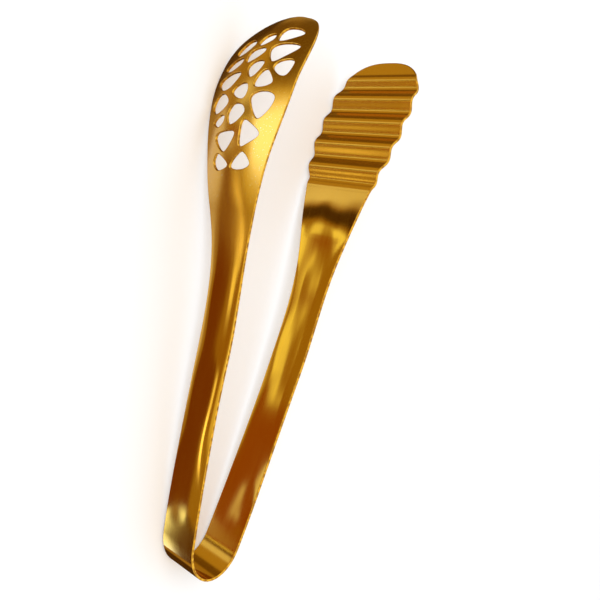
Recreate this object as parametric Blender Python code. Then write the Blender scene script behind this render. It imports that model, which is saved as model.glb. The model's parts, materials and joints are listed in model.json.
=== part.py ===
"""Serving tongs pressed from one strip of gold-finished steel sheet.

The strip is bent into a springy bow. One arm ends in a dished head with drain openings,
the other in a flat head pressed into waves. The tongs lie on their side, as they rest on a
table: +X runs from the bow to the heads, the slotted arm is on the +Y side, and the strip's
width runs up along +Z. The bow is narrower than the heads, so the strip leans down to it.

In the strip's own frame the bow's centre is the origin. A place on an arm is given as its
distance along the strip from the bow's end, and its distance across from the centreline.
"""

import math

import bmesh
import bpy
import numpy as np
from mathutils import Vector

MM = 0.001

# Driving dimensions, in metres. Angles are in degrees.
SHEET = 1.2 * MM
GAP = 0.3 * MM
ARM_LENGTH = 241 * MM
HEAD_ROOT = 160 * MM
BOW_HALF_SPAN = 12.9 * MM
BOW_STRETCH = 1.36
BOW_HEADING = 8.6

# The direction of each arm, as its angle outwards from +X, at fractions of the arm's length.
HEADING_STATIONS = (0, 0.35, 0.62, 0.82, 1)
SLOTTED_HEADINGS = (BOW_HEADING, 3.5, 15.4, -2.6, -39.7)
CORRUGATED_HEADINGS = (BOW_HEADING, 5.5, -2, 10.3, 13.4)

# Half of the strip's width at fractions of the arm's length.
WIDTH_STATIONS = (0, 0.35, 0.56, 0.68, 0.84)
HALF_WIDTHS = (11.7 * MM, 11.2 * MM, 12.8 * MM, 19.1 * MM, 26.2 * MM)

# A head's round end: its length, and the two powers of the superellipse that it follows.
SLOTTED_TIP = (31 * MM, 2.4, 2.1)
CORRUGATED_TIP = (30 * MM, 3.1, 2.6)
END_CUT = 0.6 * MM

# Both handles are slightly crowned: flat in the middle, with their edges rolled back inwards.
CROWN = 0.4 * MM
CROWN_START = 8 * MM
CROWN_FULL = 50 * MM
CROWN_FADE = 120 * MM
CROWN_END = 170 * MM

# The slotted head bulges outwards across its width, like a spoon.
DISH_DEPTH = 5 * MM
DISH_START = 125 * MM
DISH_FULL = 189 * MM

# The corrugated head's waves. The first crest that faces inwards is at WAVE_CREST.
WAVE_HEIGHT = 1.1 * MM
WAVE_PITCH = 12.4 * MM
WAVE_CREST = 183.7 * MM
WAVE_START = 173 * MM
WAVE_END = 235 * MM
WAVE_FADE = 6 * MM

# Each drain opening's outline, in millimetres: (past the head's root, across towards +Z).
OPENINGS = (
    ((8, -12.8), (11.5, -9.5), (7.4, -1.8), (4.7, -9)),
    ((18, -12.8), (20.3, -9.5), (21, 0.5), (17, -0.5), (12.8, -4.8), (14, -9)),
    ((24.5, -17), (27.3, -11.6), (27, -8.2), (24.5, -8.8), (22.6, -12.5)),
    ((31.5, -21.5), (35.8, -18.5), (36.7, -13), (33.4, -7.8), (29.8, -11.5), (28.4, -17.5)),
    ((28, -5.8), (32, -3), (32, 2.5), (29.2, 5), (25.2, 1), (24, -3.6)),
    ((37.5, -6.4), (40.2, -3), (40.8, 1.8), (38, 3.6), (34.8, 2), (35.3, -3)),
    ((41.8, -21.5), (44.2, -17.5), (45.8, -9.5), (44.8, -4.8), (39.6, -9.5), (38.6, -16)),
    ((48.3, -20.2), (51.3, -16), (52.5, -9.5), (50.5, -7.7), (47.9, -11), (46.8, -16)),
    ((56.2, -17.2), (60.6, -13.7), (61.6, -9), (59.2, -5.6), (55.4, -9), (54, -13.5)),
    ((47, -1.2), (49.7, 0.5), (50.8, 4.5), (49.7, 7.3), (45.2, 5.2), (43.7, 2)),
    ((53.1, -5.9), (55.8, -4), (57, 1.5), (55.6, 4.2), (52.6, 1.8), (50, -4)),
    ((59.6, -3.2), (63, -1.6), (64.3, 3), (61.5, 4.6), (58.9, 1.5), (58.2, -1.2)),
    ((7.5, 0.4), (13.2, 6.9), (9.2, 11.8), (6.7, 9), (5.9, 3)),
    ((20.6, 4.5), (25.6, 5.2), (25.3, 9), (21, 15.2), (16.6, 9.2), (15.6, 5.2)),
    ((34.4, 6.9), (37.4, 9.6), (38.1, 15.5), (36, 19.2), (30.4, 17.2), (27.2, 12.4)),
    ((41, 6.2), (45.4, 7.8), (47, 11), (42.7, 15.6), (40.6, 13.5), (39.7, 8.8)),
    ((48.2, 13.4), (51, 15), (52.6, 19.6), (51.5, 22), (46.2, 21), (45.5, 17.6)),
    ((56.2, 6.9), (59, 10.3), (60.1, 18), (58.6, 20.5), (54, 16.5), (50.8, 11)),
    ((64.8, 6.2), (68, 7.8), (68.4, 14), (66, 17.6), (62, 13), (60.8, 8)),
)

# Mesh fineness.
LINE_STEPS = 400
HANDLE_STEPS = 24
BOW_STEPS = 20
SLOTTED_STEPS = 22
WAVE_STEPS = 8
STRIP_ACROSS = 4
HEAD_ACROSS = 10
OUTLINE_STEPS = 3
CUT_REACH = 3 * MM
TANGENT_STEP = 0.1 * MM
TIP_CROWDING = 1.2
TIP_STEPS = (6 * MM, 4.6 * MM, 3 * MM, 1.5 * MM, END_CUT)
SHARP_ANGLE = 40

GOLD = (0.8, 0.5, 0.12, 1)
POLISH = 0.14


def clear_scene():
    """Removes every object that the new scene came with."""
    for thing in list(bpy.data.objects):
        bpy.data.objects.remove(thing)


def smooth_table(value, stations, levels):
    """Reads a smooth cubic curve through the levels at their stations."""
    stations = np.array(stations, float)
    levels = np.array(levels, float)
    slopes = np.gradient(levels, stations)
    slopes[0] = slopes[-1] = 0
    value = min(max(value, stations[0]), stations[-1])
    index = min(np.searchsorted(stations, value, side="right"), len(stations) - 1) - 1
    span = stations[index + 1] - stations[index]
    t = (value - stations[index]) / span
    start = (2 * t**3 - 3 * t**2 + 1) * levels[index] + (t**3 - 2 * t**2 + t) * span * slopes[index]
    end = (3 * t**2 - 2 * t**3) * levels[index + 1] + (t**3 - t**2) * span * slopes[index + 1]
    return start + end


def ease(value, start, end):
    """Rises smoothly from 0 at start to 1 at end."""
    t = min(max((value - start) / (end - start), 0), 1)
    return t * t * (3 - 2 * t)


def arm_width(tip):
    """A function giving half of an arm's width, which closes to its head's round end."""
    length, lengthways_power, sideways_power = tip

    def half_width(along):
        width = smooth_table(along / ARM_LENGTH, WIDTH_STATIONS, HALF_WIDTHS)
        into_tip = min(max((along - ARM_LENGTH + length) / length, 0), 1)
        return width * (1 - into_tip**lengthways_power) ** (1 / sideways_power)

    return half_width


SLOTTED_WIDTH = arm_width(SLOTTED_TIP)
CORRUGATED_WIDTH = arm_width(CORRUGATED_TIP)


def bow_edge_angle():
    """The ellipse angle at which the bow runs straight on into the arms."""
    return math.atan(BOW_STRETCH * math.tan(math.radians(BOW_HEADING)))


def arm_line(headings):
    """The arm's centreline, as arrays of distance along, x, y and heading, for the +Y side."""
    along = np.linspace(0, ARM_LENGTH, LINE_STEPS + 1)
    heading = np.radians(np.interp(along / ARM_LENGTH, HEADING_STATIONS, headings))
    middle = (heading[1:] + heading[:-1]) / 2
    step = ARM_LENGTH / LINE_STEPS
    edge = bow_edge_angle()
    x = -BOW_STRETCH * BOW_HALF_SPAN * math.sin(edge) + step * np.append(0, np.cumsum(np.cos(middle)))
    y = BOW_HALF_SPAN * math.cos(edge) + step * np.append(0, np.cumsum(np.sin(middle)))
    return along, x, y, heading


def arm_surface(side, headings, rise):
    """A function giving the middle of the sheet at a distance along and across one arm.

    side is 1 for the +Y arm and -1 for the -Y arm, and rise(along, across) is how far the
    pressing moves the sheet outwards from the plain bent strip.
    """
    line = arm_line(headings)

    def surface(along, across):
        x = np.interp(along, line[0], line[1])
        y = np.interp(along, line[0], line[2])
        heading = np.interp(along, line[0], line[3])
        out = rise(along, across)
        return Vector((x - out * math.sin(heading), side * (y + out * math.cos(heading)), across))

    return surface


def bow_surface(turn, across):
    """The middle of the bow's sheet at an ellipse angle and a distance across."""
    x = BOW_STRETCH * BOW_HALF_SPAN * math.cos(turn)
    return Vector((x, BOW_HALF_SPAN * math.sin(turn), across))


def crown(along, share):
    """A handle's crown, at a share of the way from its centreline to its edge."""
    fullness = ease(along, CROWN_START, CROWN_FULL) * (1 - ease(along, CROWN_FADE, CROWN_END))
    return -CROWN * fullness * share**4


def dish(along, across):
    """The slotted arm's pressing: its head bulges, deepest on the centreline."""
    width = SLOTTED_WIDTH(along)
    share = across / width
    fullness = ease(along, DISH_START, DISH_FULL) * width / max(HALF_WIDTHS)
    return DISH_DEPTH * fullness * (1 - share**2) + crown(along, share)


def waves(along, across):
    """The corrugated arm's pressing: its head has waves straight across the strip."""
    fade = ease(along, WAVE_START, WAVE_START + WAVE_FADE)
    fade *= 1 - ease(along, WAVE_END - WAVE_FADE, WAVE_END)
    wave = -WAVE_HEIGHT * fade * math.cos(math.tau * (along - WAVE_CREST) / WAVE_PITCH)
    return wave + crown(along, across / CORRUGATED_WIDTH(along))


SLOTTED = arm_surface(1, SLOTTED_HEADINGS, dish)
CORRUGATED = arm_surface(-1, CORRUGATED_HEADINGS, waves)


def lifted(surface, along, across, lift):
    """A point that stands off the middle of the sheet by lift, square to the sheet."""
    step = TANGENT_STEP
    lengthways = surface(along + step, across) - surface(along - step, across)
    sideways = surface(along, across + step) - surface(along, across - step)
    normal = lengthways.cross(sideways).normalized()
    return surface(along, across) + lift * normal


def new_object(name, form, material, parent):
    """Makes an object from a finished bmesh, with smooth faces and sharp corners."""
    bmesh.ops.recalc_face_normals(form, faces=form.faces)
    mesh = bpy.data.meshes.new(name)
    form.to_mesh(mesh)
    form.free()
    mesh.shade_smooth()
    mesh.set_sharp_from_angle(angle=math.radians(SHARP_ANGLE))
    mesh.materials.append(material)
    thing = bpy.data.objects.new(name, mesh)
    bpy.context.scene.collection.objects.link(thing)
    thing.parent = parent
    return thing


def sheet_solid(name, surface, stations, width_at, across_steps, material, parent):
    """A closed piece of sheet over a run of stations along the strip."""
    form = bmesh.new()
    rings = []
    for along in stations:
        widths = [width_at(along) * (2 * i / across_steps - 1) for i in range(across_steps + 1)]
        ring = [lifted(surface, along, across, SHEET / 2) for across in widths]
        ring += [lifted(surface, along, across, -SHEET / 2) for across in reversed(widths)]
        rings.append([form.verts.new(point) for point in ring])
    for ring, following in zip(rings, rings[1:]):
        for i in range(len(ring)):
            j = (i + 1) % len(ring)
            form.faces.new((ring[i], ring[j], following[j], following[i]))
    for ring in (rings[0], rings[-1]):
        for i in range(across_steps):
            form.faces.new((ring[i], ring[i + 1], ring[-2 - i], ring[-1 - i]))
    bmesh.ops.triangulate(form, faces=form.faces)
    return new_object(name, form, material, parent)


def even_steps(start, end, count):
    """Stations spread evenly from start to end."""
    return list(np.linspace(start, end, count + 1))


def head_steps(start, count):
    """Stations along a head, closer together where its end is round."""
    length = ARM_LENGTH - END_CUT - start
    turns = [math.pi / 2 * i / count for i in range(count + 1)]
    return [start + length * math.sin(turn) ** TIP_CROWDING for turn in turns]


def closed_curve(corners, steps):
    """A smooth closed curve through the corners (a Catmull-Rom spline)."""
    curve = []
    for i, point in enumerate(corners):
        before = Vector(corners[i - 1])
        here = Vector(point)
        after = Vector(corners[(i + 1) % len(corners)])
        beyond = Vector(corners[(i + 2) % len(corners)])
        for k in range(steps):
            t = k / steps
            bend = 2 * before - 5 * here + 4 * after - beyond
            twist = 3 * here - before - 3 * after + beyond
            curve.append((2 * here + t * (after - before) + t * t * bend + t**3 * twist) / 2)
    return curve


def opening_cutter(parent):
    """One guide mesh that holds a plug through the sheet for every drain opening."""
    form = bmesh.new()
    for corners in OPENINGS:
        outline = closed_curve(corners, OUTLINE_STEPS)
        caps = []
        for lift in (-CUT_REACH, CUT_REACH):
            places = [(HEAD_ROOT + p.x * MM, p.y * MM) for p in outline]
            caps.append([form.verts.new(lifted(SLOTTED, a, c, lift)) for a, c in places])
        low, high = caps
        for i in range(len(low)):
            j = (i + 1) % len(low)
            form.faces.new((low[i], low[j], high[j], high[i]))
        form.faces.new(low)
        form.faces.new(high)
    bmesh.ops.triangulate(form, faces=form.faces)
    bmesh.ops.recalc_face_normals(form, faces=form.faces)
    mesh = bpy.data.meshes.new("opening_cutter")
    form.to_mesh(mesh)
    form.free()
    cutter = bpy.data.objects.new("opening_cutter", mesh)
    bpy.context.scene.collection.objects.link(cutter)
    cutter.parent = parent
    cutter.hide_render = True
    cutter.display_type = "WIRE"
    return cutter


def gold_material():
    """Polished steel with a gold finish."""
    material = bpy.data.materials.new("gold_steel")
    material.use_nodes = True
    shader = material.node_tree.nodes["Principled BSDF"]
    shader.inputs["Base Color"].default_value = GOLD
    shader.inputs["Metallic"].default_value = 1
    shader.inputs["Roughness"].default_value = POLISH
    return material


def new_empty(name, parent):
    """An empty that holds other objects."""
    empty = bpy.data.objects.new(name, None)
    bpy.context.scene.collection.objects.link(empty)
    empty.parent = parent
    return empty


def build_bow(material, parent):
    """The spring bow, an open half ellipse."""
    edge = bow_edge_angle()
    turns = even_steps(math.pi / 2 + edge, 3 * math.pi / 2 - edge, BOW_STEPS)

    def bow(turn, across):
        return bow_surface(turn, across)

    return sheet_solid("spring_bow", bow, turns, lambda turn: HALF_WIDTHS[0], STRIP_ACROSS,
                       material, parent)


def build_handle(name, surface, width_at, material, parent):
    """The part of an arm between the bow and the head."""
    stations = even_steps(GAP, HEAD_ROOT, HANDLE_STEPS)
    return sheet_solid(name, surface, stations, width_at, STRIP_ACROSS, material, parent)


def build_slotted_head(material, parent):
    """The dished head with its drain openings cut through."""
    stations = head_steps(HEAD_ROOT + GAP, SLOTTED_STEPS)
    head = sheet_solid("slotted_head", SLOTTED, stations, SLOTTED_WIDTH, HEAD_ACROSS, material,
                       parent)
    cut = head.modifiers.new("drain_openings", "BOOLEAN")
    cut.operation = "DIFFERENCE"
    cut.solver = "EXACT"
    cut.object = opening_cutter(parent)
    return head


def build_corrugated_head(material, parent):
    """The flat head with its waves."""
    start = HEAD_ROOT + GAP
    wave_step = WAVE_PITCH / WAVE_STEPS
    stations = even_steps(start, WAVE_START, 4)[:-1]
    stations += list(np.arange(WAVE_START, ARM_LENGTH - TIP_STEPS[0], wave_step))
    stations += [ARM_LENGTH - rest for rest in TIP_STEPS[1:]]
    return sheet_solid("corrugated_head", CORRUGATED, stations, CORRUGATED_WIDTH, HEAD_ACROSS,
                       material, parent)


def lay_on_side(frame, pieces):
    """Leans the strip until bow and heads touch the table, and centres it on the origin."""
    bow_x = -BOW_STRETCH * BOW_HALF_SPAN - SHEET / 2
    steepest = 0
    for surface, width_at in ((SLOTTED, SLOTTED_WIDTH), (CORRUGATED, CORRUGATED_WIDTH)):
        for along in even_steps(HEAD_ROOT, ARM_LENGTH - END_CUT, LINE_STEPS):
            rise = width_at(along) - HALF_WIDTHS[0]
            reach = surface(along, width_at(along)).x - bow_x
            steepest = max(steepest, math.atan2(rise, reach))
    frame.rotation_euler.y = -steepest
    bpy.context.view_layer.update()
    corners = [piece.matrix_world @ vertex.co for piece in pieces for vertex in piece.data.vertices]
    low = Vector([min(corner[i] for corner in corners) for i in range(3)])
    high = Vector([max(corner[i] for corner in corners) for i in range(3)])
    frame.location = (-(low.x + high.x) / 2, -(low.y + high.y) / 2, -low.z)
    bpy.context.view_layer.update()


def main():
    """Builds the tongs."""
    clear_scene()
    gold = gold_material()
    frame = new_empty("tongs_frame", None)
    slotted_hinge = new_empty("slotted_hinge", frame)
    corrugated_hinge = new_empty("corrugated_hinge", frame)
    pieces = [
        build_bow(gold, frame),
        build_handle("slotted_handle", SLOTTED, SLOTTED_WIDTH, gold, slotted_hinge),
        build_slotted_head(gold, slotted_hinge),
        build_handle("corrugated_handle", CORRUGATED, CORRUGATED_WIDTH, gold, corrugated_hinge),
        build_corrugated_head(gold, corrugated_hinge),
    ]
    lay_on_side(frame, pieces)


main()
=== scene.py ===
"""The looks of the serving tongs: one strip of gold-finished sheet, seen in a plain studio.

The strip is built again from the same curves as the CAD model, but finely, with rounded edges,
and without the gaps between its nodes. Places on it are given as in the CAD model: a distance
along an arm from the bow's end, and a distance across from the strip's centreline.
"""

import json
import math

import bpy
import numpy as np
from mathutils import Matrix, Vector
from mathutils.geometry import delaunay_2d_cdt

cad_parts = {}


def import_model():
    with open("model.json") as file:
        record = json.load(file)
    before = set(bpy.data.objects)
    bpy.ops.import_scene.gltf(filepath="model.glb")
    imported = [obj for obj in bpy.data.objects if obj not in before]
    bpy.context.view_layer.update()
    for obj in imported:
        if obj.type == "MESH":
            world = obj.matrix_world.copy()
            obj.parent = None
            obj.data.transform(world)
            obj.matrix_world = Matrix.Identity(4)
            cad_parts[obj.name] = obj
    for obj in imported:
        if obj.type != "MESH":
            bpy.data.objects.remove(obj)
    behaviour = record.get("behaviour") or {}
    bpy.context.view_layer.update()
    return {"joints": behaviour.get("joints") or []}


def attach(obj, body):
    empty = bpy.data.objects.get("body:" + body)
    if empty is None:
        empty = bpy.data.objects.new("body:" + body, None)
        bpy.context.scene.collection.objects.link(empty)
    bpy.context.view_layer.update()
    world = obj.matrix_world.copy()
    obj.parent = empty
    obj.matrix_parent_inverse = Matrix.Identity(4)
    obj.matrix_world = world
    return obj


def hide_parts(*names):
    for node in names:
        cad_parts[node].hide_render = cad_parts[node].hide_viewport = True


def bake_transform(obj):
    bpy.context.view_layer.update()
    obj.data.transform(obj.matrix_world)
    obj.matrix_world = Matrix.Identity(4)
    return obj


MM = 0.001

# The strip, as in the CAD model. Lengths are in metres and angles in degrees.
SHEET = 1.2 * MM
ARM_LENGTH = 241 * MM
HEAD_ROOT = 160 * MM
BOW_HALF_SPAN = 12.9 * MM
BOW_STRETCH = 1.36
BOW_HEADING = 8.6
HEADING_STATIONS = (0, 0.35, 0.62, 0.82, 1)
SLOTTED_HEADINGS = (BOW_HEADING, 3.5, 15.4, -2.6, -39.7)
CORRUGATED_HEADINGS = (BOW_HEADING, 5.5, -2, 10.3, 13.4)
WIDTH_STATIONS = (0, 0.35, 0.56, 0.68, 0.84)
HALF_WIDTHS = (11.7 * MM, 11.2 * MM, 12.8 * MM, 19.1 * MM, 26.2 * MM)
SLOTTED_TIP = (31 * MM, 2.4, 2.1)
CORRUGATED_TIP = (30 * MM, 3.1, 2.6)
DISH_DEPTH = 5 * MM
DISH_START = 125 * MM
DISH_FULL = 189 * MM
CROWN = 0.4 * MM
CROWN_START = 8 * MM
CROWN_FULL = 50 * MM
CROWN_FADE = 120 * MM
CROWN_END = 170 * MM
WAVE_HEIGHT = 1.1 * MM
WAVE_PITCH = 12.4 * MM
WAVE_CREST = 183.7 * MM
WAVE_START = 173 * MM
WAVE_END = 235 * MM
WAVE_FADE = 6 * MM

# Each drain opening's outline, in millimetres: (past the head's root, across towards +Z).
OPENINGS = (
    ((8, -12.8), (11.5, -9.5), (7.4, -1.8), (4.7, -9)),
    ((18, -12.8), (20.3, -9.5), (21, 0.5), (17, -0.5), (12.8, -4.8), (14, -9)),
    ((24.5, -17), (27.3, -11.6), (27, -8.2), (24.5, -8.8), (22.6, -12.5)),
    ((31.5, -21.5), (35.8, -18.5), (36.7, -13), (33.4, -7.8), (29.8, -11.5), (28.4, -17.5)),
    ((28, -5.8), (32, -3), (32, 2.5), (29.2, 5), (25.2, 1), (24, -3.6)),
    ((37.5, -6.4), (40.2, -3), (40.8, 1.8), (38, 3.6), (34.8, 2), (35.3, -3)),
    ((41.8, -21.5), (44.2, -17.5), (45.8, -9.5), (44.8, -4.8), (39.6, -9.5), (38.6, -16)),
    ((48.3, -20.2), (51.3, -16), (52.5, -9.5), (50.5, -7.7), (47.9, -11), (46.8, -16)),
    ((56.2, -17.2), (60.6, -13.7), (61.6, -9), (59.2, -5.6), (55.4, -9), (54, -13.5)),
    ((47, -1.2), (49.7, 0.5), (50.8, 4.5), (49.7, 7.3), (45.2, 5.2), (43.7, 2)),
    ((53.1, -5.9), (55.8, -4), (57, 1.5), (55.6, 4.2), (52.6, 1.8), (50, -4)),
    ((59.6, -3.2), (63, -1.6), (64.3, 3), (61.5, 4.6), (58.9, 1.5), (58.2, -1.2)),
    ((7.5, 0.4), (13.2, 6.9), (9.2, 11.8), (6.7, 9), (5.9, 3)),
    ((20.6, 4.5), (25.6, 5.2), (25.3, 9), (21, 15.2), (16.6, 9.2), (15.6, 5.2)),
    ((34.4, 6.9), (37.4, 9.6), (38.1, 15.5), (36, 19.2), (30.4, 17.2), (27.2, 12.4)),
    ((41, 6.2), (45.4, 7.8), (47, 11), (42.7, 15.6), (40.6, 13.5), (39.7, 8.8)),
    ((48.2, 13.4), (51, 15), (52.6, 19.6), (51.5, 22), (46.2, 21), (45.5, 17.6)),
    ((56.2, 6.9), (59, 10.3), (60.1, 18), (58.6, 20.5), (54, 16.5), (50.8, 11)),
    ((64.8, 6.2), (68, 7.8), (68.4, 14), (66, 17.6), (62, 13), (60.8, 8)),
)

# Finish of the visible mesh. A grid is the distance between points, (along, across).
EDGE_ROUND = 0.42 * MM
EDGE_STEPS = 4
RIM_STEP = 0.7 * MM
EDGE_STEP = 2 * MM
JOIN_STEP = 2.4 * MM
HANDLE_GRID = (2 * MM, 4.8 * MM)
DISH_GRID = (1.5 * MM, 1.5 * MM)
WAVE_GRID = (0.6 * MM, 2.4 * MM)
CLEAR_SHARE = 0.5
LINE_STEPS = 800
SPLINE_STEPS = 24
FEWEST_STEPS = 8
SLOPE_STEP = 0.05 * MM
CDT_CLOSENESS = 1e-5
BEND_MARGIN = 1 * MM

# The gold finish. Places along the strip are (from, to), in millimetres from the bow's apex:
# positive on the slotted arm, negative on the corrugated arm. A fade is the width of a soft edge.
# A noise has so many lumps per millimetre along the strip, across it and through the sheet.
PAST_TIP = 400
GOLD_PALE = (0.95, 0.54, 0.06)
GOLD_DEEP = (0.90, 0.45, 0.026)
STREAKS = (0.03, 1.1, 0.5)
SHADE_BASE = 0.25
SHADE_SPREAD = 0.5

# The satin part, with its grain, and the pale specks on it.
SATIN = (152, PAST_TIP)
SATIN_FADE = 40
GRAIN = (0.4, 5, 1)
GRAIN_DEPTH = 0.0003 * MM
SPECKS = (1.9, 1.9, 1.9)
SPECK_LEVEL = 0.7
SPECK_COLOUR = (0.97, 0.78, 0.36)

# Broad, shallow dents everywhere but on the waves and the bow.
UNEVENNESS = (0.035, 0.07, 0.02)
UNEVENNESS_DEPTH = 0.35 * MM
UNEVENNESS_SHIFT = 23.9
NOISE_MIDDLE = 0.5
WAVED = (-PAST_TIP, -192)
BOW = (-30, 30)

# A worn patch of the bow, and painted shade: patches in the middle of the sheet's cut edge darkened to
# brown as a dark reflection there, where RIM is in millimetres from the middle of the sheet and the
# patches' range is of the noise.
WORN = (-24, -4)
WORN_FADE = 10
RIM = (-0.5, 0.5)
RIM_FADE = 0.15
# Painted shade: the brown laid on patches of the cut edge, standing in for a dark reflection.
GOLD_RIM_SHADE = (0.46, 0.20, 0.02)
RIM_SHADE_LUMPS = (0.5, 0.5, 0.5)
RIM_SHADE_RANGE = (0.5, 2)
RIM_SHADE_FADE = 0.25

# Roughness of the mirror-like and the satin parts, then what each of the others adds.
MIRROR_ROUGHNESS = 0.05
SATIN_ROUGHNESS = 0.17
WORN_ROUGHNESS = 0.1
WAVED_ROUGHNESS = 0.11
RIM_ROUGHNESS = 0.12
STREAK_ROUGHNESS = 0.05

# The floor's side is in metres.
FLOOR_SIZE = 80
FLOOR_COLOUR = (0.9, 0.9, 0.9)
FLOOR_ROUGHNESS = 0.9

# The studio that the metal mirrors: its walls, and the layers over them, where each one hides
# those before it. A layer has (from, to) in azimuth and in elevation and the widths of its soft
# edges, all in degrees, and its light's colour. Azimuth 0 is +X, 90 is +Y.
WALLS = (0.95, 0.95, 0.95)
ALL_ROUND = (-400, 400)
STUDIO = (
    (ALL_ROUND, (-100, -4), (8, 8), (0.34, 0.23, 0.06)),
    ((-90, 62), (-35, -4), (20, 8), (0.15, 0.09, 0.018)),
    ((-72, -22), (-20, -4), (26, 26), (0.52, 0.46, 0.32)),
    ((-150, -105), (-38, -6), (12, 8), (1.0, 0.97, 0.9)),
    ((154, 178), (-42, -6), (8, 8), (0.95, 0.9, 0.8)),
    ((-10, 24), (-46, -36), (10, 4), (0.15, 0.085, 0.016)),
    ((24, 62), (-46, -34), (8, 4), (0.46, 0.34, 0.12)),
    ((-180, 6), (-76, -46), (14, 6), (0.07, 0.032, 0.006)),
    ((62, 112), (-50, -36), (4, 3), (0.30, 0.17, 0.03)),
    ((57, 72), (-50, -38), (4, 3), (0.80, 0.86, 1.3)),
    ((73.6, 78.6), (-50, -38), (2, 3), (0.06, 0.03, 0.005)),
    ((80.4, 84.0), (-46.6, -38), (2, 1.2), (1.05, 1.15, 0.9)),
    ((78.6, 84.0), (-58, -46.6), (2, 1.2), (0.34, 0.22, 0.04)),
    ((84.0, 93.5), (-58, -38), (1.5, 3), (0.27, 0.085, 0.004)),
    ((90.2, 94.5), (-57, -46.8), (1, 0.8), (0.78, 0.85, 1.4)),
    ((103, 109), (-48.6, -45.2), (4, 1), (1.1, 1.1, 0.9)),
    ((109, 117.5), (-48.8, -45.7), (3, 1), (1.9, 1.9, 1.9)),
    ((99, 128), (-60, -50.6), (4, 1), (0.17, 0.052, 0.005)),
    ((127, 170), (-52.5, -50.9), (3, 0.3), (1.4, 1.9, 3.6)),
    ((127, 170), (-50.9, -42), (3, 0.3), (0.10, 0.045, 0.012)),
    ((10, 60), (-72, -60), (8, 4), (0.42, 0.3, 0.16)),
    ((56, 118), (-86, -64), (10, 3), (0.72, 0.74, 1.1)),
    ((70, 112), (-34, -4), (12, 8), (0.72, 0.66, 0.4)),
    ((92, 112), (-40, -30), (4, 3), (0.72, 0.66, 0.4)),
    ((79, 104), (-31, -5), (8, 7), (1.5, 1.85, 4.5)),
)

# The soft light, in metres and watts.
LIGHT_SIZE = 1.2
LIGHT_POWER = 7
LIGHT_PLACE = (0.3, 0.5, 1.2)

# The camera. Its place is in metres, and its lens and sensor in millimetres.
CAMERA_PLACE = (-0.01166, 0.24787, 0.30897)
CAMERA_FORWARD = (0.04307, -0.68493, -0.72733)
CAMERA_UP = (0.97576, 0.18517, -0.11659)
CAMERA_LENS = 50.4
CAMERA_SENSOR = 36


# ---------------------------------------------------------------- the strip's curves

def smooth_table(value, stations, levels):
    """Reads a smooth cubic curve through the levels at their stations."""
    stations = np.array(stations, float)
    levels = np.array(levels, float)
    slopes = np.gradient(levels, stations)
    slopes[0] = slopes[-1] = 0
    value = np.clip(value, stations[0], stations[-1])
    index = np.minimum(np.searchsorted(stations, value, side="right"), len(stations) - 1) - 1
    span = stations[index + 1] - stations[index]
    t = (value - stations[index]) / span
    start = (2 * t**3 - 3 * t**2 + 1) * levels[index] + (t**3 - 2 * t**2 + t) * span * slopes[index]
    end = (3 * t**2 - 2 * t**3) * levels[index + 1] + (t**3 - t**2) * span * slopes[index + 1]
    return start + end


def ease(value, start, end):
    """Rises smoothly from 0 at start to 1 at end."""
    t = np.clip((value - start) / (end - start), 0, 1)
    return t * t * (3 - 2 * t)


def full_width(along):
    """Half of the strip's width, without the head's round end."""
    return smooth_table(along / ARM_LENGTH, WIDTH_STATIONS, HALF_WIDTHS)


def arm_width(tip):
    """A function giving half of an arm's width, which closes to its head's round end."""
    length, lengthways_power, sideways_power = tip

    def half_width(along):
        into_tip = np.clip((along - ARM_LENGTH + length) / length, 0, 1)
        return full_width(along) * (1 - into_tip**lengthways_power) ** (1 / sideways_power)

    return half_width


SLOTTED_WIDTH = arm_width(SLOTTED_TIP)
CORRUGATED_WIDTH = arm_width(CORRUGATED_TIP)


def bow_edge_angle():
    """The ellipse angle at which the bow runs straight on into the arms."""
    return math.atan(BOW_STRETCH * math.tan(math.radians(BOW_HEADING)))


def crown(along, share):
    """A handle's crown, at a share of the way from its centreline to its edge."""
    fullness = ease(along, CROWN_START, CROWN_FULL) * (1 - ease(along, CROWN_FADE, CROWN_END))
    return -CROWN * fullness * share**4


def dish(along, across):
    """The slotted arm's pressing: its head bulges, deepest on the centreline."""
    width = np.maximum(SLOTTED_WIDTH(along), MM)
    share = across / width
    fullness = ease(along, DISH_START, DISH_FULL) * width / max(HALF_WIDTHS)
    return DISH_DEPTH * fullness * (1 - share**2) + crown(along, share)


def waves(along, across):
    """The corrugated arm's pressing: its head has waves straight across the strip."""
    fade = ease(along, WAVE_START, WAVE_START + WAVE_FADE)
    fade = fade * (1 - ease(along, WAVE_END - WAVE_FADE, WAVE_END))
    wave = -WAVE_HEIGHT * fade * np.cos(math.tau * (along - WAVE_CREST) / WAVE_PITCH)
    return wave + crown(along, across / np.maximum(CORRUGATED_WIDTH(along), MM))


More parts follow.
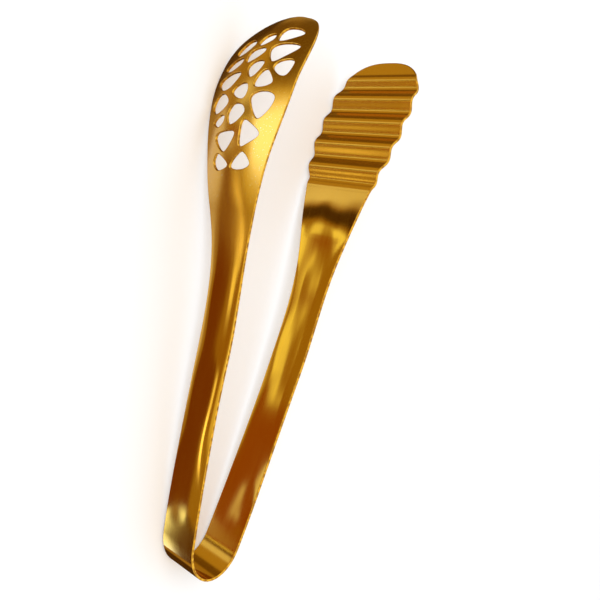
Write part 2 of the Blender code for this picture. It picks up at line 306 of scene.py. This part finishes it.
def arm_sheet(side, headings, rise):
    """A function from (along, across) to the middle of an arm's sheet and its outward normal.

    side is 1 for the +Y arm and -1 for the -Y arm, and rise(along, across) is how far the
    pressing moves the sheet outwards from the plain bent strip.
    """
    line = np.linspace(0, ARM_LENGTH, LINE_STEPS + 1)
    heading = np.radians(np.interp(line / ARM_LENGTH, HEADING_STATIONS, headings))
    middle = (heading[1:] + heading[:-1]) / 2
    piece = ARM_LENGTH / LINE_STEPS
    edge = bow_edge_angle()
    line_x = -BOW_STRETCH * BOW_HALF_SPAN * math.sin(edge)
    line_x = line_x + piece * np.append(0, np.cumsum(np.cos(middle)))
    line_y = BOW_HALF_SPAN * math.cos(edge) + piece * np.append(0, np.cumsum(np.sin(middle)))
    bend = np.gradient(heading, line)

    def sheet(along, across):
        out = rise(along, across)
        step = SLOPE_STEP
        out_along = (rise(along + step, across) - rise(along - step, across)) / (2 * step)
        out_across = (rise(along, across + step) - rise(along, across - step)) / (2 * step)
        turn = np.interp(along, line, heading)
        zero = np.zeros_like(turn)
        ahead = np.stack([np.cos(turn), side * np.sin(turn), zero], -1)
        outward = np.stack([-np.sin(turn), side * np.cos(turn), zero], -1)
        upward = np.stack([zero, zero, zero + 1], -1)
        x, y = np.interp(along, line, line_x), side * np.interp(along, line, line_y)
        base = np.stack([x, y, across], -1)
        stretch = 1 - out * np.interp(along, line, bend)
        normal = outward - (out_along / stretch)[:, None] * ahead - out_across[:, None] * upward
        normal /= np.linalg.norm(normal, axis=1)[:, None]
        return base + out[:, None] * outward, normal

    return sheet


def bow_line():
    """Half of the bow's curve, as arrays of distance from its apex and of ellipse angle."""
    angle = np.linspace(0, math.pi / 2 - bow_edge_angle(), LINE_STEPS + 1)
    x = BOW_STRETCH * BOW_HALF_SPAN * np.cos(angle)
    y = BOW_HALF_SPAN * np.sin(angle)
    return np.append(0, np.cumsum(np.hypot(np.diff(x), np.diff(y)))), angle


def bow_length():
    """The length of half of the bow, from its apex to where an arm starts."""
    return float(bow_line()[0][-1])


def bow_sheet(side):
    """The same as arm_sheet for half of the bow, where along is measured from its apex."""
    lengths, angles = bow_line()

    def sheet(along, across):
        angle = np.interp(along, lengths, angles)
        x = -BOW_STRETCH * BOW_HALF_SPAN * np.cos(angle)
        y = side * BOW_HALF_SPAN * np.sin(angle)
        normal = np.stack([-np.cos(angle) / BOW_STRETCH, side * np.sin(angle), 0 * angle], -1)
        normal /= np.linalg.norm(normal, axis=1)[:, None]
        return np.stack([x, y, across], -1), normal

    return sheet


# ---------------------------------------------------------------- outlines in the flat pattern

def even_curve(points, step, closed=False):
    """Points at even distances along a dense line of points."""
    points = np.array(points, float)
    if closed:
        points = np.vstack([points, points[:1]])
    lengths = np.append(0, np.cumsum(np.linalg.norm(np.diff(points, axis=0), axis=1)))
    count = max(int(round(lengths[-1] / step)), FEWEST_STEPS)
    at = np.linspace(0, lengths[-1], count + 1)
    even = np.stack([np.interp(at, lengths, points[:, i]) for i in (0, 1)], -1)
    return even[:-1] if closed else even


def opening_outline(corners):
    """A smooth closed curve through an opening's corners (a Catmull-Rom spline), clockwise."""
    here = np.array(corners, float) * MM + (HEAD_ROOT, 0)
    before, after, beyond = (np.roll(here, shift, axis=0) for shift in (1, -1, -2))
    t = (np.arange(SPLINE_STEPS) / SPLINE_STEPS)[:, None, None]
    bend = 2 * before - 5 * here + 4 * after - beyond
    twist = 3 * here - before - 3 * after + beyond
    curve = (2 * here + t * (after - before) + t * t * bend + t**3 * twist) / 2
    curve = even_curve(curve.transpose(1, 0, 2).reshape(-1, 2), RIM_STEP, closed=True)
    ahead = np.roll(curve, -1, axis=0)
    area = np.sum(curve[:, 0] * ahead[:, 1] - ahead[:, 0] * curve[:, 1])
    return curve[::-1] if area > 0 else curve


def head_edge(tip):
    """A head's edge, from its root on the -Z side round the tip and back on the +Z side."""
    length, lengthways_power, sideways_power = tip
    straight = np.linspace(HEAD_ROOT, ARM_LENGTH - length, LINE_STEPS)
    angle = np.linspace(0, math.pi / 2, LINE_STEPS)
    along = ARM_LENGTH - length + length * np.sin(angle) ** (2 / lengthways_power)
    across = full_width(along) * np.abs(np.cos(angle)) ** (2 / sideways_power)
    lower = np.column_stack([np.append(straight, along), -np.append(full_width(straight), across)])
    upper = lower[::-1] * (1, -1)
    return even_curve(np.vstack([lower, upper[1:]]), RIM_STEP)


def side_edges(start, end, width_at):
    """The two edges of a run of strip: along its -Z side, then back along its +Z side."""
    along = np.linspace(start, end, max(int(round((end - start) / EDGE_STEP)), 2) + 1)
    lower = np.column_stack([along, -width_at(along)])
    return [lower, lower[::-1] * (1, -1)]


def outward_directions(edge, closed):
    """Unit vectors out of the sheet, to the right of travel, and square across at open ends."""
    if closed:
        ahead = np.roll(edge, -1, axis=0) - np.roll(edge, 1, axis=0)
    else:
        ahead = np.gradient(edge, axis=0)
        ahead[0], ahead[-1] = (np.sign(ahead[0, 0]), 0), (np.sign(ahead[-1, 0]), 0)
    outward = np.column_stack([ahead[:, 1], -ahead[:, 0]])
    return outward / np.linalg.norm(outward, axis=1)[:, None]


def inside(points, loops):
    """Which flat points are inside the first loop and outside the others."""
    crossings = 0
    for loop in loops:
        ahead = np.roll(loop, -1, axis=0)
        x, y = points[:, :1], points[:, 1:]
        crosses = (loop[:, 1] > y) != (ahead[:, 1] > y)
        rise = ahead[:, 1] - loop[:, 1]
        rise[rise == 0] = 1
        reach = loop[:, 0] + (y - loop[:, 1]) * (ahead[:, 0] - loop[:, 0]) / rise
        crossings = crossings + np.count_nonzero(crosses & (x < reach), axis=1)
    return crossings % 2 == 1


# ---------------------------------------------------------------- mesh making

def edge_profile():
    """The rounded edge from the top face to the bottom face.

    Each point has its distance inwards, its lift, and its normal's lean outwards and rise.
    """
    half = SHEET / 2
    upper = []
    for angle in np.linspace(0, math.pi / 2, EDGE_STEPS + 1):
        lean, rise = math.sin(angle), math.cos(angle)
        upper.append((EDGE_ROUND * (1 - lean), half - EDGE_ROUND * (1 - rise), lean, rise))
    return upper + [(inwards, -lift, lean, -rise) for inwards, lift, lean, rise in reversed(upper)]


class Panel:
    """A closed piece of sheet, collected point by point from its flat pattern."""

    def __init__(self, sheet):
        self.sheet = sheet
        self.flat = np.zeros((0, 3))
        self.places = np.zeros((0, 3))
        self.normals = np.zeros((0, 3))
        self.faces = []

    def add(self, flat, lift, rise=1.0, outward=None, lean=0.0):
        """Adds points off the sheet's middle, and returns their numbers."""
        place, normal = self.sheet(flat[:, 0], flat[:, 1])
        shade = rise * normal
        if lean:
            ahead = self.sheet(flat[:, 0] + SLOPE_STEP, flat[:, 1])[0] - place
            beside = self.sheet(flat[:, 0], flat[:, 1] + SLOPE_STEP)[0] - place
            out = outward[:, :1] * ahead + outward[:, 1:] * beside
            out -= np.sum(out * normal, axis=1)[:, None] * normal
            shade = shade + lean * out / np.linalg.norm(out, axis=1)[:, None]
        first = len(self.flat)
        self.flat = np.vstack([self.flat, np.column_stack([flat, np.full(len(flat), lift)])])
        self.places = np.vstack([self.places, place + lift * normal])
        self.normals = np.vstack([self.normals, shade])
        return list(range(first, len(self.flat)))

    def add_rim(self, edge, closed):
        """Adds a rounded edge along a line, and returns its rows from the top to the bottom."""
        outward = outward_directions(edge, closed)
        rows = []
        for inwards, lift, lean, rise in edge_profile():
            rows.append(self.add(edge - inwards * outward, lift, rise, outward, lean))
        for upper, lower in zip(rows, rows[1:]):
            for i in range(len(edge) if closed else len(edge) - 1):
                j = (i + 1) % len(edge)
                self.faces.append((upper[i], lower[i], lower[j], upper[j]))
        return rows

    def add_join(self, rim, following):
        """Adds the cut face from one rim's end to the next rim's start."""
        start, end = self.flat[rim[0][-1], :2], self.flat[following[0][0], :2]
        count = max(int(round(np.linalg.norm(end - start) / JOIN_STEP)), 1)
        between = start + np.linspace(0, 1, count + 1)[1:-1, None] * (end - start)
        top = self.add(between, SHEET / 2)
        bottom = self.add(between, -SHEET / 2, rise=-1.0)
        cap = [following[0][0]] + top[::-1] + [row[-1] for row in rim] + bottom
        cap += [row[0] for row in reversed(following)][:-1]
        self.faces.append(tuple(cap))
        return top, bottom

    def add_sides(self, top_loops, bottom_loops, inner, steps):
        """Fills the top and the bottom, through the same flat triangles."""
        top = sum(top_loops, []) + self.add(inner, SHEET / 2)
        bottom = sum(bottom_loops, []) + self.add(inner, -SHEET / 2, rise=-1.0)
        pattern = self.flat[top, :2]
        edges = []
        first = 0
        for loop in top_loops:
            edges += [(first + i, first + (i + 1) % len(loop)) for i in range(len(loop))]
            first += len(loop)
        points = [Vector(point) for point in pattern / steps]
        found = delaunay_2d_cdt(points, edges, [], 0, CDT_CLOSENESS)
        triangles = np.array([[found[3][i][0] for i in triangle] for triangle in found[2]])
        loops = [self.flat[loop, :2] for loop in top_loops]
        for triangle in triangles[inside(pattern[triangles].mean(axis=1), loops)]:
            self.faces.append(tuple(top[i] for i in triangle))
            self.faces.append(tuple(bottom[i] for i in reversed(triangle)))


def inner_points(start, end, width_at, steps, loops):
    """Points in rows across a piece, between two places, that keep clear of its loops."""
    rows = []
    for along in np.linspace(start, end, max(int(round((end - start) / steps[0])), 1) + 1)[1:-1]:
        count = int(width_at(along) / steps[1])
        rows += [(along, i * steps[1]) for i in range(-count, count + 1)]
    rows = np.array(rows)
    edges = np.concatenate(loops)
    nearest = np.array([np.min(np.sum((edges - row) ** 2, axis=1)) for row in rows])
    return rows[nearest > (CLEAR_SHARE * min(steps)) ** 2]


def sheet_piece(name, sheet, side, offset, edges, holes, run, steps, place, material):
    """Makes a closed piece of sheet with rounded edges and exact normals.

    edges are the open edges in order round the piece, holes are closed outlines, and run is
    its (start, end, half-width function). offset is its distance from the bow's apex at 0.
    """
    panel = Panel(sheet)
    rims = [panel.add_rim(edge, closed=False) for edge in edges]
    top_loop, bottom_loop = [], []
    for rim, following in zip(rims, rims[1:] + rims[:1]):
        top, bottom = panel.add_join(rim, following)
        top_loop += rim[0] + top
        bottom_loop += rim[-1] + bottom
    hole_rims = [panel.add_rim(hole, closed=True) for hole in holes]
    top_loops = [top_loop] + [rim[0] for rim in hole_rims]
    bottom_loops = [bottom_loop] + [rim[-1] for rim in hole_rims]
    loops = [panel.flat[loop, :2] for loop in top_loops]
    inner = inner_points(*run, steps, loops)
    inner = inner[inside(inner, loops)]
    panel.add_sides(top_loops, bottom_loops, inner, steps)
    return make_object(name, panel, side, offset, place, material)


def make_object(name, panel, side, offset, place, material):
    """Turns a panel into an object that also carries its place on the strip, in millimetres."""
    turn = np.array(place.to_3x3())
    points = panel.places @ turn.T + np.array(place.translation)
    normals = panel.normals / np.linalg.norm(panel.normals, axis=1)[:, None] @ turn.T
    faces = [face if side < 0 else face[::-1] for face in panel.faces]
    mesh = bpy.data.meshes.new(name)
    mesh.from_pydata(points.tolist(), [], faces)
    mesh.polygons.foreach_set("use_smooth", [True] * len(faces))
    corner_normals = []
    for polygon in mesh.polygons:
        cut = polygon.loop_total > 4  # only the flat cut faces have more than four corners
        for vertex in polygon.vertices:
            corner_normals.append(polygon.normal.copy() if cut else normals[vertex])
    mesh.normals_split_custom_set(corner_normals)
    strip = (panel.flat + (offset, 0, 0)) * (side / MM, 1 / MM, 1 / MM)
    attribute = mesh.attributes.new("strip", "FLOAT_VECTOR", "POINT")
    attribute.data.foreach_set("vector", strip.astype(np.float32).ravel())
    mesh.materials.append(material)
    thing = bpy.data.objects.new(name, mesh)
    bpy.context.scene.collection.objects.link(thing)
    return thing


# ---------------------------------------------------------------- pieces

def strip_place(joint):
    """The strip's own axes and origin in the model's frame, from the hinge of its bow."""
    z_axis = -Vector(joint["axis"]).normalized()
    y_axis = Vector((0, 1, 0))
    turn = Matrix((y_axis.cross(z_axis), y_axis, z_axis)).transposed()
    return Matrix.Translation(Vector(joint["pos_m"])) @ turn.to_4x4()


def bow_width(along):
    """Half of the strip's width on the bow."""
    return HALF_WIDTHS[0] + 0 * along


def build_bow_half(name, side, place, material):
    """One half of the bow, made in place and attached to no body."""
    length = bow_length()
    edges = side_edges(0, length, bow_width)
    run = (0, length, bow_width)
    sheet = bow_sheet(side)
    piece = sheet_piece(name, sheet, side, 0, edges, [], run, HANDLE_GRID, place, material)
    ends, _ = sheet(np.array([BEND_MARGIN, length - BEND_MARGIN]), np.zeros(2))
    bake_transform(piece)
    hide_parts("spring_bow")


def build_handle(name, side, sheet, arm, node, place, material):
    """The plain strip between the bow and a head."""
    edges = side_edges(0, HEAD_ROOT, full_width)
    run = (0, HEAD_ROOT, full_width)
    start = bow_length()
    piece = sheet_piece(name, sheet, side, start, edges, [], run, HANDLE_GRID, place, material)
    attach(piece, arm)
    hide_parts(node)


def build_head(name, side, sheet, tip, openings, steps, arm, node, place, material):
    """A head, with its edge rounded all the way and any openings cut through."""
    run = (HEAD_ROOT, ARM_LENGTH, arm_width(tip))
    holes = [opening_outline(corners) for corners in openings]
    edges = [head_edge(tip)]
    start = bow_length()
    piece = sheet_piece(name, sheet, side, start, edges, holes, run, steps, place, material)
    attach(piece, arm)
    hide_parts(node)


# ---------------------------------------------------------------- materials

def gold_material():
    """Polished steel with a gold finish, satin on the slotted head and mirror-like elsewhere."""
    material = bpy.data.materials.new("gold_steel_finish")
    material.use_nodes = True
    tree = material.node_tree
    shader = tree.nodes["Principled BSDF"]
    strip = tree.nodes.new("ShaderNodeAttribute")
    strip.attribute_name = "strip"
    strip = strip.outputs["Vector"]
    parts = tree.nodes.new("ShaderNodeSeparateXYZ")
    tree.links.new(strip, parts.inputs[0])
    satin = range_mask(tree, parts.outputs["X"], SATIN, SATIN_FADE)
    worn = range_mask(tree, parts.outputs["X"], WORN, WORN_FADE)
    waved = range_mask(tree, parts.outputs["X"], WAVED, WORN_FADE)
    bow = range_mask(tree, parts.outputs["X"], BOW, WORN_FADE)
    rim = range_mask(tree, parts.outputs["Z"], RIM, RIM_FADE)
    streaks = noise(tree, strip, STREAKS)
    grain = noise(tree, strip, GRAIN)
    specks = maths(tree, "GREATER_THAN", noise(tree, strip, SPECKS), SPECK_LEVEL)
    # Painted shade: noise patches where the cut edge is darkened.
    rim_shade_patches = range_mask(tree, noise(tree, strip, RIM_SHADE_LUMPS), RIM_SHADE_RANGE, RIM_SHADE_FADE)

    shade = maths(tree, "MULTIPLY_ADD", streaks, SHADE_SPREAD, SHADE_BASE)
    colour = mixed(tree, GOLD_DEEP, GOLD_PALE, shade)
    colour = mixed(tree, colour, SPECK_COLOUR, maths(tree, "MULTIPLY", specks, satin))
    # Painted shade: patches of the cut edge are turned brown, as a dark reflection there would look.
    colour = mixed(tree, colour, GOLD_RIM_SHADE, maths(tree, "MULTIPLY", rim, rim_shade_patches))
    tree.links.new(colour, shader.inputs["Base Color"])
    shader.inputs["Metallic"].default_value = 1

    roughness = maths(tree, "MULTIPLY_ADD", satin, SATIN_ROUGHNESS - MIRROR_ROUGHNESS, MIRROR_ROUGHNESS)
    masks = (worn, waved, rim, streaks)
    additions = (WORN_ROUGHNESS, WAVED_ROUGHNESS, RIM_ROUGHNESS, STREAK_ROUGHNESS)
    for mask, addition in zip(masks, additions):
        roughness = maths(tree, "MULTIPLY_ADD", mask, addition, roughness)
    tree.links.new(roughness, shader.inputs["Roughness"])

    lumps = noise(tree, strip, UNEVENNESS, detail=0, shift=UNEVENNESS_SHIFT)
    dents = maths(tree, "SUBTRACT", lumps, NOISE_MIDDLE)
    uneven = maths(tree, "SUBTRACT", 1, maths(tree, "ADD", waved, bow))
    unevenness = bumped(tree, maths(tree, "MULTIPLY", dents, uneven), UNEVENNESS_DEPTH, None)
    finish = bumped(tree, maths(tree, "MULTIPLY", grain, satin), GRAIN_DEPTH, unevenness)
    tree.links.new(finish, shader.inputs["Normal"])
    return material


# ---------------------------------------------------------------- node helpers

def maths(tree, operation, *values):
    """A Math node on sockets or numbers."""
    node = tree.nodes.new("ShaderNodeMath")
    node.operation = operation
    for socket, value in zip(node.inputs, values):
        if isinstance(value, bpy.types.NodeSocket):
            tree.links.new(value, socket)
        else:
            socket.default_value = value
    return node.outputs[0]


def range_mask(tree, value, limits, edge):
    """1 where value is between its limits and 0 outside, with edges that fade."""
    middle, half = sum(limits) / 2, (limits[1] - limits[0]) / 2
    away = maths(tree, "ABSOLUTE", maths(tree, "SUBTRACT", value, middle))
    node = tree.nodes.new("ShaderNodeMapRange")
    node.interpolation_type = "SMOOTHSTEP"
    tree.links.new(away, node.inputs["Value"])
    node.inputs["From Min"].default_value = half + edge / 2
    node.inputs["From Max"].default_value = half - edge / 2
    return node.outputs["Result"]


def noise(tree, vector, stretch, detail=2, shift=0.0):
    """Noise over the strip, with so many lumps per millimetre along, across and through it."""
    scaled = tree.nodes.new("ShaderNodeVectorMath")
    scaled.operation = "MULTIPLY_ADD"
    tree.links.new(vector, scaled.inputs[0])
    scaled.inputs[1].default_value = stretch
    scaled.inputs[2].default_value = (shift, shift, shift)
    node = tree.nodes.new("ShaderNodeTexNoise")
    node.inputs["Scale"].default_value = 1
    node.inputs["Detail"].default_value = detail
    tree.links.new(scaled.outputs[0], node.inputs["Vector"])
    return next(s for s in node.outputs if s.identifier in ("Fac", "Factor"))


def bumped(tree, height, depth, normal):
    """A bump of so many metres in depth, on top of another normal or of None."""
    node = tree.nodes.new("ShaderNodeBump")
    node.inputs["Strength"].default_value = 1
    node.inputs["Distance"].default_value = depth
    tree.links.new(height, node.inputs["Height"])
    if normal is not None:
        tree.links.new(normal, node.inputs["Normal"])
    return node.outputs["Normal"]


def mixed(tree, under, over, share):
    """Lays one colour over another by a share. Each colour is a socket or three numbers."""
    node = tree.nodes.new("ShaderNodeMix")
    node.data_type = "RGBA"
    tree.links.new(share, node.inputs["Factor"])
    for name, value in (("A_Color", under), ("B_Color", over)):
        socket = next(s for s in node.inputs if s.identifier == name)
        if isinstance(value, bpy.types.NodeSocket):
            tree.links.new(value, socket)
        else:
            socket.default_value = (*value, 1)
    return next(s for s in node.outputs if s.identifier == "Result_Color")


# ---------------------------------------------------------------- studio

def build_floor():
    """A plain pale floor."""
    mesh = bpy.data.meshes.new("floor")
    size = FLOOR_SIZE / 2
    corners = [(-size, -size, 0), (size, -size, 0), (size, size, 0), (-size, size, 0)]
    mesh.from_pydata(corners, [], [(0, 1, 2, 3)])
    material = bpy.data.materials.new("pale_floor")
    material.use_nodes = True
    shader = material.node_tree.nodes["Principled BSDF"]
    shader.inputs["Base Color"].default_value = (*FLOOR_COLOUR, 1)
    shader.inputs["Roughness"].default_value = FLOOR_ROUGHNESS
    mesh.materials.append(material)
    floor = bpy.data.objects.new("floor", mesh)
    floor.visible_glossy = False
    bpy.context.scene.collection.objects.link(floor)


def build_world():
    """The studio: white walls with bright and dark layers, whose edges are soft."""
    world = bpy.data.worlds.new("studio")
    world.use_nodes = True
    tree = world.node_tree
    direction = tree.nodes.new("ShaderNodeTexCoord").outputs["Generated"]
    parts = tree.nodes.new("ShaderNodeSeparateXYZ")
    tree.links.new(direction, parts.inputs[0])
    turn = maths(tree, "ARCTAN2", parts.outputs["Y"], parts.outputs["X"])
    azimuth = maths(tree, "MULTIPLY", turn, math.degrees(1))
    tilt = maths(tree, "ARCSINE", parts.outputs["Z"])
    elevation = maths(tree, "MULTIPLY", tilt, math.degrees(1))
    colour = WALLS
    for around, height, edges, light in STUDIO:
        across = range_mask(tree, azimuth, around, edges[0])
        upward = range_mask(tree, elevation, height, edges[1])
        mask = maths(tree, "MULTIPLY", across, upward)
        colour = mixed(tree, colour, light, mask)
    tree.links.new(colour, tree.nodes["Background"].inputs["Color"])
    world.cycles.sampling_method = "NONE"
    bpy.context.scene.world = world


def build_lights():
    """One large soft light from above."""
    data = bpy.data.lights.new("soft_light", "AREA")
    data.shape = "DISK"
    data.size = LIGHT_SIZE
    data.energy = LIGHT_POWER
    light = bpy.data.objects.new("soft_light", data)
    light.location = LIGHT_PLACE
    light.rotation_euler = (-Vector(LIGHT_PLACE)).to_track_quat("-Z", "Y").to_euler()
    light.visible_glossy = False
    bpy.context.scene.collection.objects.link(light)
    bpy.context.scene.view_settings.view_transform = "Standard"


def build_camera():
    """The photograph's camera."""
    forward, up = Vector(CAMERA_FORWARD).normalized(), Vector(CAMERA_UP)
    right = forward.cross(up).normalized()
    turn = Matrix((right, right.cross(forward), -forward)).transposed().to_4x4()
    data = bpy.data.cameras.new("camera")
    data.lens = CAMERA_LENS
    data.sensor_width = CAMERA_SENSOR
    camera = bpy.data.objects.new("camera", data)
    camera.matrix_world = Matrix.Translation(CAMERA_PLACE) @ turn
    bpy.context.scene.collection.objects.link(camera)
    bpy.context.scene.camera = camera


def main():
    """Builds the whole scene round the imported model."""
    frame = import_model()
    place = strip_place(frame["joints"][0])
    gold = gold_material()
    slotted = arm_sheet(1, SLOTTED_HEADINGS, dish)
    corrugated = arm_sheet(-1, CORRUGATED_HEADINGS, waves)
    build_bow_half("bow_slotted_half", 1, place, gold)
    build_bow_half("bow_corrugated_half", -1, place, gold)
    build_handle("slotted_handle_skin", 1, slotted, "slotted_arm", "slotted_handle", place, gold)
    build_handle(
        "corrugated_handle_skin", -1, corrugated, "corrugated_arm", "corrugated_handle", place, gold
    )
    build_head(
        "slotted_head_skin", 1, slotted, SLOTTED_TIP, OPENINGS, DISH_GRID,
        "slotted_arm", "slotted_head", place, gold,
    )
    build_head(
        "corrugated_head_skin", -1, corrugated, CORRUGATED_TIP, (), WAVE_GRID,
        "corrugated_arm", "corrugated_head", place, gold,
    )
    build_floor()
    build_world()
    build_lights()
    build_camera()


main()
